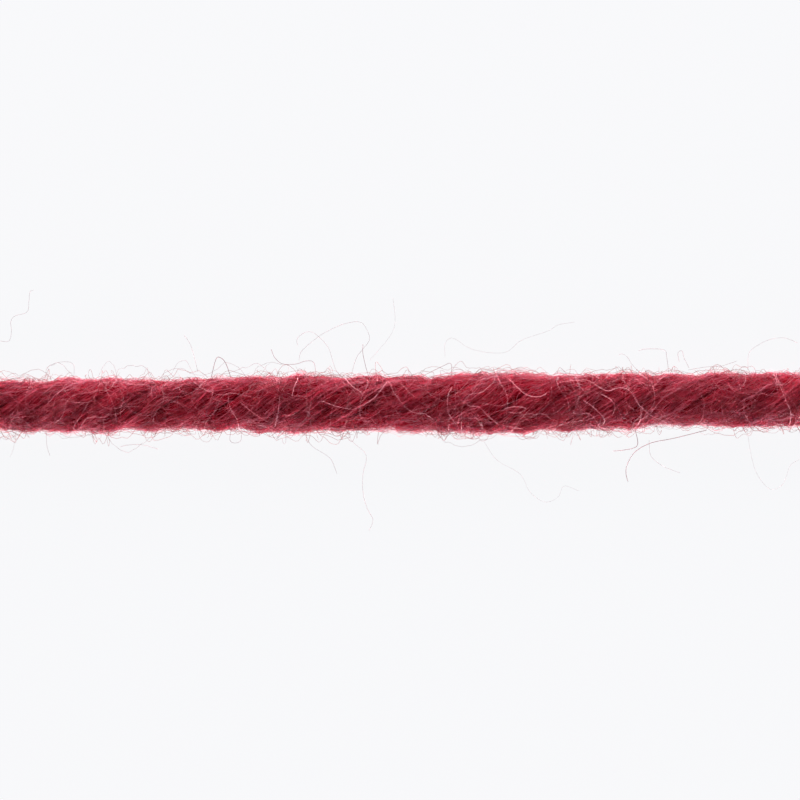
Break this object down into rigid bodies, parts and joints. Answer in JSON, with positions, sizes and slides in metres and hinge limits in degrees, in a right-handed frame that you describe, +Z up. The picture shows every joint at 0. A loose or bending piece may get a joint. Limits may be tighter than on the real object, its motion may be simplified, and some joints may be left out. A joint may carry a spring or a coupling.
{
  "type": "merino wool yarn",
  "caption": "Straight cut length of plied, S-twisted wool yarn with soft uneven plies, for knitting, weaving, tying or trimming.",
  "frame": {"origin": "under the middle of the yarn's length, on the surface that it lies on", "axes": "+X along the yarn, +Y across it on the surface, +Z up from the surface"},
  "size_m": [0.046, 0.003, 0.003],
  "materials": {
    "wool": "matte crimson wool, soft and hairy"
  },
  "bodies": {
    "root": {"ply_1": "wool", "ply_2": "wool", "ply_3": "wool", "ply_4": "wool"}
  },
  "joints": []
}
